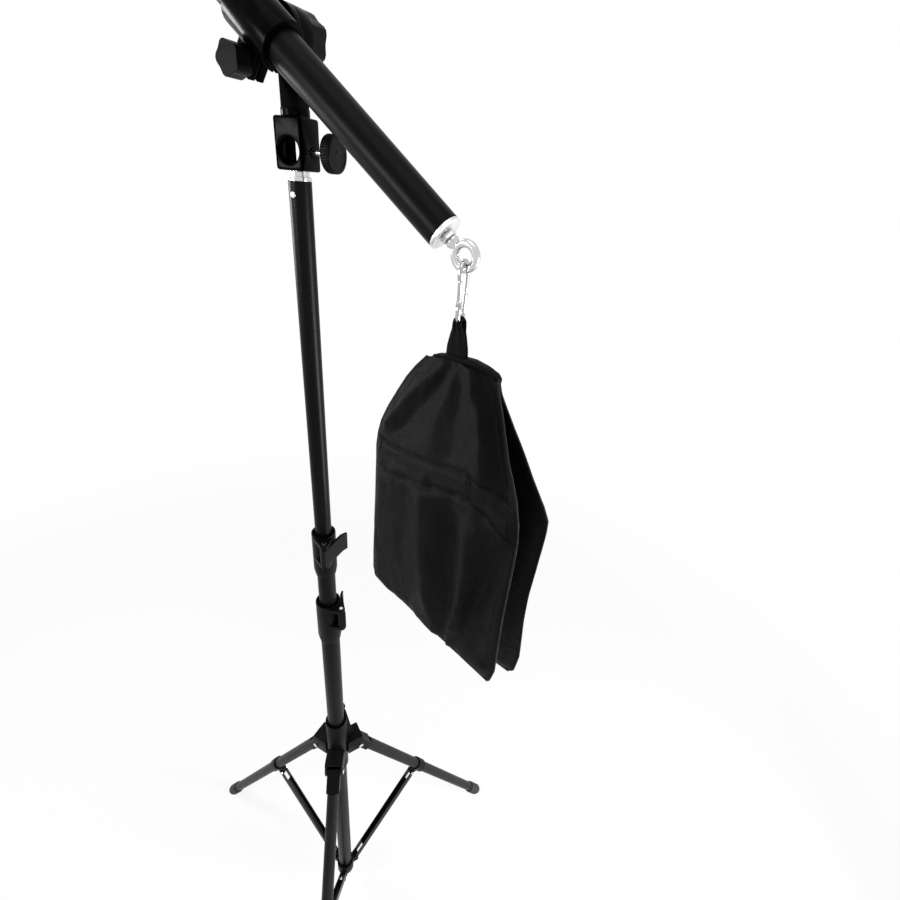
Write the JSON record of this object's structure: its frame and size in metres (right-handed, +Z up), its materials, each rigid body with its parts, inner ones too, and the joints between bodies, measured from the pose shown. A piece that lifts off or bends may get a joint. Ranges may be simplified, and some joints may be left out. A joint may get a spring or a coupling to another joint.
{
  "type": "overhead boom arm",
  "caption": "Tilting telescopic boom on a folding tripod light stand, with a clamp block head, flip locks and a saddle sandbag hung from its rear eye.",
  "frame": {"origin": "on the floor, at the middle of the part's bounding box", "axes": "+Z up along the mast; the boom lies in a plane parallel to XZ, with its counterweight end towards +X"},
  "size_m": [0.89, 0.6036, 1.871],
  "materials": {
    "tube_black": "satin black paint",
    "moulded_black": "fine grain",
    "cast_black": "fine texture black",
    "bright_steel": "bright",
    "cap_alloy": "satin",
    "rubber_black": "matt",
    "nylon_black": "woven nylon"
  },
  "bodies": {
    "column": {"lower_tube": "tube_black", "column_plug": "moulded_black", "brace_hub": "moulded_black", "lower_lock_collar": "moulded_black", "lower_lock_pin": "bright_steel"},
    "lower_lever": {"lower_lock_lever": "moulded_black"},
    "mid_mast": {"mid_tube": "tube_black", "upper_lock_collar": "moulded_black", "upper_lock_pin": "bright_steel"},
    "upper_lever": {"upper_lock_lever": "moulded_black"},
    "top_mast": {"top_tube": "tube_black", "top_collar": "bright_steel", "tube_rivet": "bright_steel", "head_block": "cast_black"},
    "head_knob": {"head_knob": "moulded_black", "head_screw": "bright_steel"},
    "pan_bracket": {"tilt_bracket": "cast_black"},
    "clamp": {"boom_clamp": "cast_black", "tilt_bolt": "bright_steel"},
    "tilt_knob": {"tilt_knob": "moulded_black"},
    "clamp_knob": {"clamp_knob": "moulded_black"},
    "rear_boom": {"boom_rear_tube": "tube_black", "boom_end_cap": "cap_alloy", "eye_bolt": "bright_steel", "boom_lock_collar": "moulded_black", "boom_lock_pin": "bright_steel"},
    "boom_lever": {"boom_lock_lever": "moulded_black"},
    "front_boom": {"boom_front_tube": "tube_black", "front_spigot": "bright_steel"},
    "carabiner": {"carabiner_hook": "bright_steel", "gate_pin": "bright_steel"},
    "gate": {"carabiner_gate": "bright_steel"},
    "sandbag": {"webbing_loop": "nylon_black", "bag_band": "nylon_black", "front_pouch": "nylon_black", "rear_pouch": "nylon_black"},
    "hub": {"leg_hub": "moulded_black", "leg_pin_1": "bright_steel", "leg_pin_2": "bright_steel", "leg_pin_3": "bright_steel"},
    "hub_knob": {"hub_knob": "moulded_black"},
    "leg_1": {"leg_tube_1": "tube_black", "leg_top_1": "moulded_black", "leg_clamp_1": "moulded_black", "foot_1": "rubber_black"},
    "brace_1": {"brace_1": "tube_black", "brace_pin_1": "bright_steel"},
    "leg_2": {"leg_tube_2": "tube_black", "leg_top_2": "moulded_black", "leg_clamp_2": "moulded_black", "foot_2": "rubber_black"},
    "brace_2": {"brace_2": "tube_black", "brace_pin_2": "bright_steel"},
    "leg_3": {"leg_tube_3": "tube_black", "leg_top_3": "moulded_black", "leg_clamp_3": "moulded_black", "foot_3": "rubber_black"},
    "brace_3": {"brace_3": "tube_black", "brace_pin_3": "bright_steel"}
  },
  "joints": [
    {"name": "mid_tube_slide", "type": "slide", "parent": "column", "child": "mid_mast", "axis": [0, 0, 1], "range_m": [-0.036, 0.4]},
    {"name": "top_tube_slide", "type": "slide", "parent": "mid_mast", "child": "top_mast", "axis": [0, 0, 1], "range_m": [-0.28, 0.18]},
    {"name": "lower_lever_hinge", "type": "hinge", "parent": "column", "child": "lower_lever", "pos_m": [0.20654, -0.00158, 0.812], "axis": [0, 0, -1], "range_deg": [0, 80]},
    {"name": "upper_lever_hinge", "type": "hinge", "parent": "mid_mast", "child": "upper_lever", "pos_m": [0.19808, -0.01576, 0.925], "axis": [0, 0, -1], "range_deg": [0, 80]},
    {"name": "head_knob_turn", "type": "hinge", "parent": "top_mast", "child": "head_knob", "pos_m": [0.19628, 0.00174, 1.3191], "axis": [0.9903, 0.1392, 0], "continuous": true},
    {"name": "boom_pan", "type": "hinge", "parent": "top_mast", "child": "pan_bracket", "pos_m": [0.1839, 0, 1.3417], "axis": [0, 0, 1], "continuous": true},
    {"name": "boom_tilt", "type": "hinge", "parent": "pan_bracket", "child": "clamp", "pos_m": [0.1839, 0, 1.3911], "axis": [0, 1, 0], "range_deg": [-62, 4]},
    {"name": "tilt_knob_turn", "type": "hinge", "parent": "clamp", "child": "tilt_knob", "pos_m": [0.1839, 0.0058, 1.3911], "axis": [0, 1, 0], "continuous": true},
    {"name": "clamp_knob_turn", "type": "hinge", "parent": "clamp", "child": "clamp_knob", "pos_m": [0.16769, -0.032, 1.36975], "axis": [0, -1, 0], "continuous": true},
    {"name": "boom_slide", "type": "slide", "parent": "clamp", "child": "rear_boom", "axis": [0.7965, 0, -0.6046], "range_m": [0, 0.15]},
    {"name": "boom_lever_hinge", "type": "hinge", "parent": "rear_boom", "child": "boom_lever", "pos_m": [-0.14777, -0.025, 1.67198], "axis": [0.7965, 0, -0.6046], "range_deg": [0, 80]},
    {"name": "front_tube_slide", "type": "slide", "parent": "rear_boom", "child": "front_boom", "axis": [0.7965, 0, -0.6046], "range_m": [-0.15, 0.26]},
    {"name": "carabiner_hang", "type": "hinge", "parent": "rear_boom", "child": "carabiner", "pos_m": [0.35077, -0.025, 1.26444], "axis": [0, 1, 0], "range_deg": [-4, 62]},
    {"name": "gate_hinge", "type": "hinge", "parent": "carabiner", "child": "gate", "pos_m": [0.35155, -0.03055, 1.23324], "axis": [-0.9903, -0.1392, 0], "range_deg": [0, 22], "stiffness_Nm_per_rad": 0.02, "springref_deg": -11.46},
    {"name": "bag_swing", "type": "hinge", "parent": "carabiner", "child": "sandbag", "pos_m": [0.35077, -0.025, 1.22064], "axis": [-0.1392, 0.9903, 0], "range_deg": [-3, 3]},
    {"name": "hub_slide", "type": "slide", "parent": "column", "child": "hub", "axis": [0, 0, 1], "range_m": [0, 0.062]},
    {"name": "hub_knob_turn", "type": "hinge", "parent": "hub", "child": "hub_knob", "pos_m": [0.1724, 0.01992, 0.53601], "axis": [-0.5, 0.866, 0], "continuous": true},
    {"name": "leg_1_hinge", "type": "hinge", "parent": "hub", "child": "leg_1", "pos_m": [0.2014, -0.03031, 0.48001], "axis": [0.866, 0.5, 0], "range_deg": [0, 29]},
    {"name": "brace_1_hinge", "type": "hinge", "parent": "leg_1", "child": "brace_1", "pos_m": [0.25642, -0.12561, 0.27144], "axis": [0.866, 0.5, 0], "range_deg": [-58.53, 0]},
    {"name": "leg_2_hinge", "type": "hinge", "parent": "hub", "child": "leg_2", "pos_m": [0.2014, 0.03031, 0.48001], "axis": [-0.866, 0.5, 0], "range_deg": [0, 29]},
    {"name": "brace_2_hinge", "type": "hinge", "parent": "leg_2", "child": "brace_2", "pos_m": [0.25642, 0.12561, 0.27144], "axis": [-0.866, 0.5, 0], "range_deg": [-58.53, 0]},
    {"name": "leg_3_hinge", "type": "hinge", "parent": "hub", "child": "leg_3", "pos_m": [0.1489, 0, 0.48001], "axis": [0, -1, 0], "range_deg": [0, 29]},
    {"name": "brace_3_hinge", "type": "hinge", "parent": "leg_3", "child": "brace_3", "pos_m": [0.03886, 0, 0.27144], "axis": [0, -1, 0], "range_deg": [-58.53, 0]}
  ],
  "couplings": [
    {"joint": "carabiner_hang", "follows": "boom_tilt", "ratio": -1},
    {"joint": "leg_1_hinge", "follows": "hub_slide", "rad_per_m": 8.1374},
    {"joint": "brace_1_hinge", "follows": "hub_slide", "rad_per_m": -16.439},
    {"joint": "leg_2_hinge", "follows": "hub_slide", "rad_per_m": 8.1374},
    {"joint": "brace_2_hinge", "follows": "hub_slide", "rad_per_m": -16.439},
    {"joint": "leg_3_hinge", "follows": "hub_slide", "rad_per_m": 8.1374},
    {"joint": "brace_3_hinge", "follows": "hub_slide", "rad_per_m": -16.439}
  ]
}
